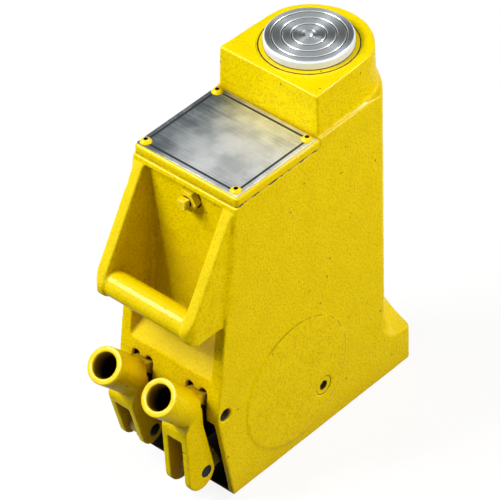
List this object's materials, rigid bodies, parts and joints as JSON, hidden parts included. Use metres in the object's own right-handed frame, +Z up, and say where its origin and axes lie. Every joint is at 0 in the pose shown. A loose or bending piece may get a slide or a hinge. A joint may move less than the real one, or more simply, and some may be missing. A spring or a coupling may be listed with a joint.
{
  "type": "hydraulic jack",
  "caption": "Self-contained hydraulic jack: cast body with carry handle and foot, grooved saddle on a plunger, and load and speed pump levers with handle sockets.",
  "frame": {"origin": "on the floor, under the plunger's axis", "axes": "+Z up along the plunger, -Y towards the pump levers, +X towards the side with the flush plug"},
  "size_m": [0.1008, 0.2654, 0.3185],
  "materials": {
    "yellow_paint": "semi-gloss enamel over a sand casting",
    "ground_steel": "ground and oiled",
    "turned_steel": "bright turned rings",
    "bare_plate": "brushed, left bare",
    "dark_steel": "blackened",
    "bearing_bronze": "plain bearing bronze",
    "seal_rubber": "matt"
  },
  "bodies": {
    "jack_body": {"body_casting": "yellow_paint", "top_cover": "yellow_paint", "cover_gasket": "seal_rubber", "nameplate": "bare_plate", "cover_screws": "yellow_paint", "cylinder_liner": "ground_steel", "gland_ring": "yellow_paint", "rod_wiper": "seal_rubber", "rod_seal": "seal_rubber", "fulcrum_shaft": "ground_steel", "fulcrum_set_screws": "dark_steel", "load_pump_gland": "ground_steel", "speed_pump_gland": "ground_steel", "load_pump_seal": "seal_rubber", "speed_pump_seal": "seal_rubber", "valve_bushing": "yellow_paint", "side_plug": "yellow_paint"},
    "plunger_body": {"plunger": "ground_steel", "saddle": "turned_steel", "saddle_screw": "turned_steel", "piston_bearing": "bearing_bronze", "piston_seal": "seal_rubber"},
    "load_lever_body": {"load_lever": "yellow_paint", "load_fork_pin": "dark_steel"},
    "speed_lever_body": {"speed_lever": "yellow_paint", "speed_fork_pin": "dark_steel"},
    "load_piston_body": {"load_piston": "ground_steel"},
    "speed_piston_body": {"speed_piston": "ground_steel"},
    "valve_body": {"valve_stem": "yellow_paint"}
  },
  "joints": [
    {"name": "plunger_lift", "type": "slide", "parent": "jack_body", "child": "plunger_body", "axis": [0, 0, 1], "range_m": [0, 0.155]},
    {"name": "load_lever_swing", "type": "hinge", "parent": "jack_body", "child": "load_lever_body", "pos_m": [-0.027, -0.155, 0.084], "axis": [1, 0, 0], "range_deg": [0, 25]},
    {"name": "speed_lever_swing", "type": "hinge", "parent": "jack_body", "child": "speed_lever_body", "pos_m": [0.027, -0.155, 0.084], "axis": [1, 0, 0], "range_deg": [0, 25]},
    {"name": "load_piston_stroke", "type": "slide", "parent": "jack_body", "child": "load_piston_body", "axis": [0, 1, 0], "range_m": [0, 0.0205]},
    {"name": "speed_piston_stroke", "type": "slide", "parent": "jack_body", "child": "speed_piston_body", "axis": [0, 1, 0], "range_m": [0, 0.024]},
    {"name": "valve_turn", "type": "hinge", "parent": "jack_body", "child": "valve_body", "pos_m": [0.004, -0.142, 0.252], "axis": [0, -1, 0], "range_deg": [0, 270]}
  ],
  "couplings": [
    {"joint": "load_piston_stroke", "follows": "load_lever_swing", "m_per_rad": 0.046594},
    {"joint": "speed_piston_stroke", "follows": "speed_lever_swing", "m_per_rad": 0.054879}
  ]
}
